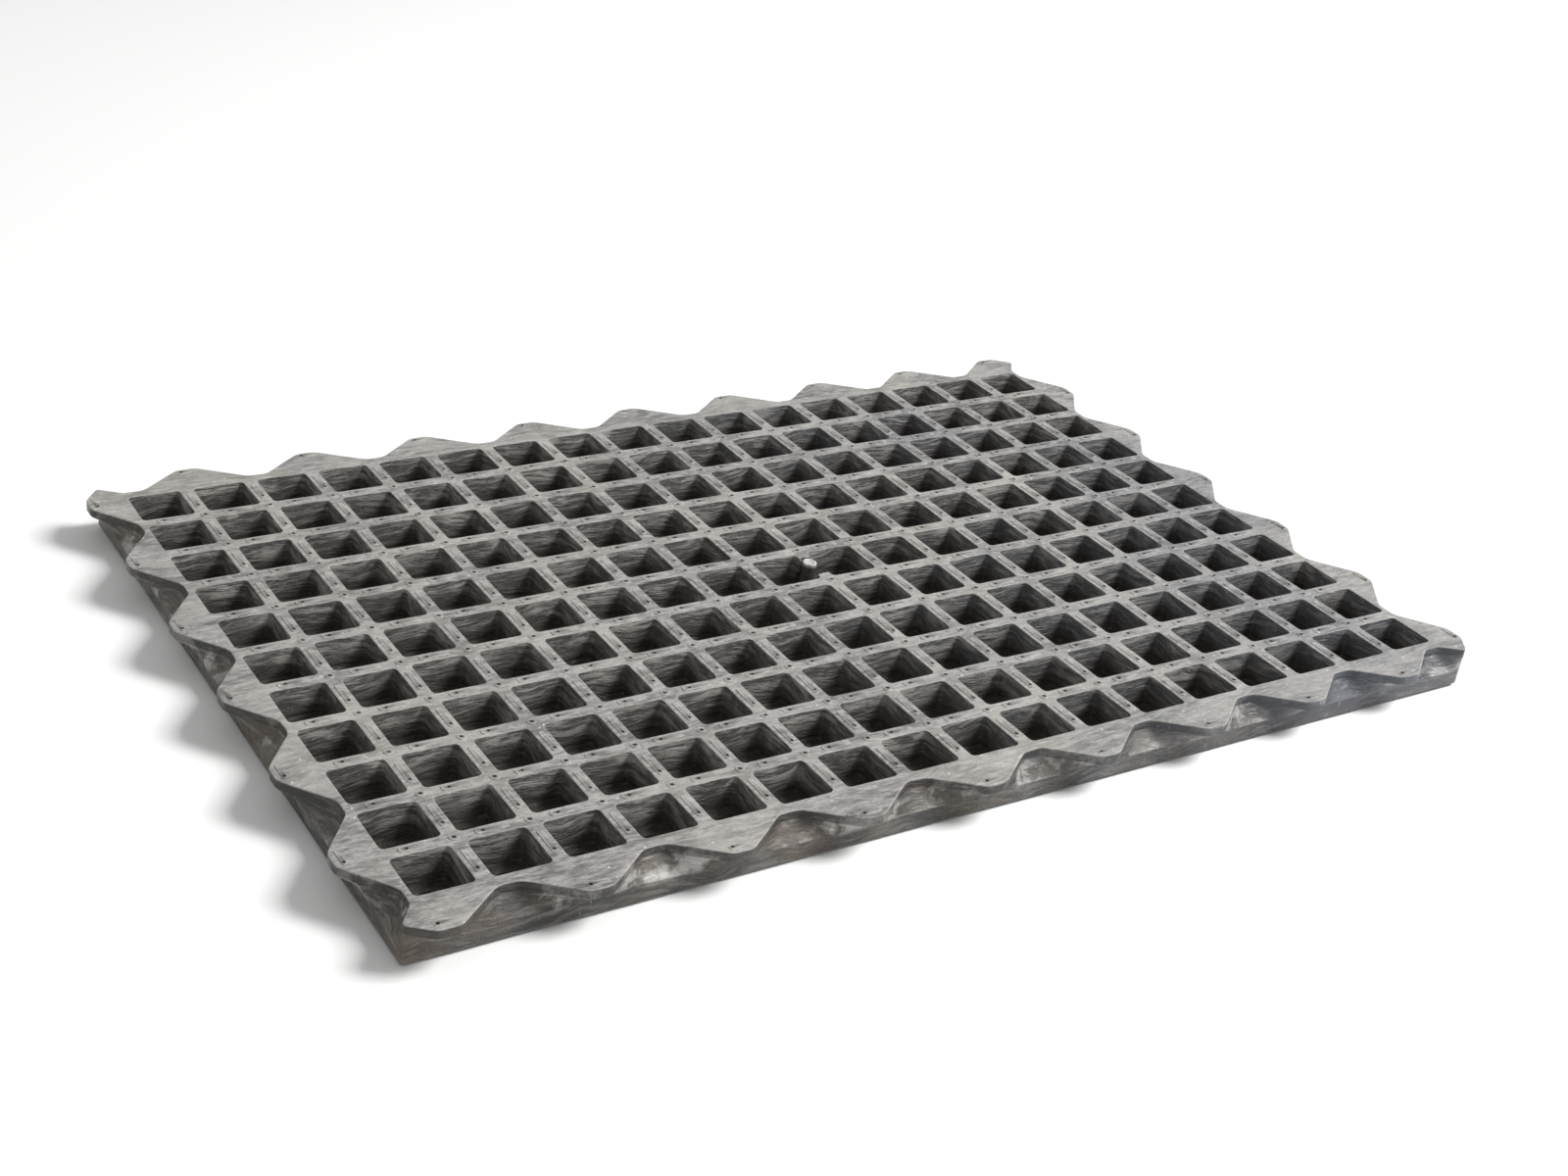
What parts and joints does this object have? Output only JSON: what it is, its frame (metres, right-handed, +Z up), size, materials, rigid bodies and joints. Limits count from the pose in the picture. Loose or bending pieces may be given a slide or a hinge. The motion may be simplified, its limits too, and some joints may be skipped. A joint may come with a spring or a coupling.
{
  "type": "heavy duty grid mat",
  "caption": "Interlocking ground mat moulded from recycled plastic: open square cells with drain holes on one face, a raised tread pattern on the other, toothed rim.",
  "frame": {"origin": "middle of the underside, at the level of the ground it lies on", "axes": "+X along the long side, +Y along the short side, +Z up out of the grid face"},
  "size_m": [1.196, 0.809, 0.043],
  "materials": {
    "recycled_plastic": "dusty grey recycled plastic with flow streaks"
  },
  "bodies": {
    "root": {"grid_mat": "recycled_plastic"}
  },
  "joints": []
}
